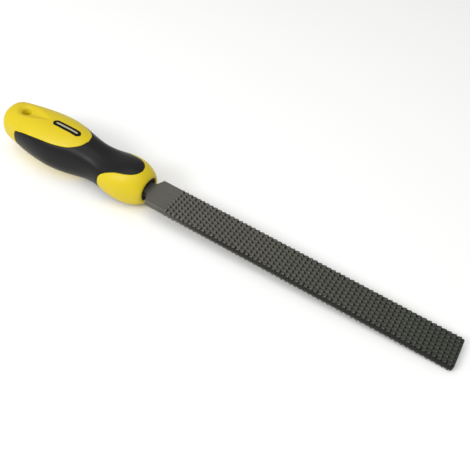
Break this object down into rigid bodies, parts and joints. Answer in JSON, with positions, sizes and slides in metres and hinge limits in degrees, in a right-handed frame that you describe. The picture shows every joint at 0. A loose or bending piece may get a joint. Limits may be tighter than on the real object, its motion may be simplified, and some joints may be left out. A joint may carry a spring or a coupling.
{
  "type": "wood rasp",
  "caption": "Flat wood rasp with raised teeth on both faces and a contoured two-material handle with a hanging hole, for coarse shaping of wood.",
  "frame": {"origin": "middle of the tool's overall box, on the long axis of blade and handle", "axes": "+X along the blade towards its tip, +Y across the blade, +Z out of the blade's upper flat face, the side with the badge"},
  "size_m": [0.3154, 0.0348, 0.0314],
  "materials": {
    "blade_steel": "hardened tool steel, dark grey with a satin phosphate finish",
    "hard_yellow_plastic": "satin moulded polypropylene, bright yellow",
    "soft_black_rubber": "matte thermoplastic rubber, black",
    "black_plastic": "matte black plastic",
    "badge_black": "black printed plastic with a thin pale border, left blank"
  },
  "bodies": {
    "root": {"rasp_blade": "blade_steel", "handle_core": "hard_yellow_plastic", "grip_overmould": "soft_black_rubber", "tang_sleeve": "black_plastic", "badge": "badge_black"}
  },
  "joints": []
}
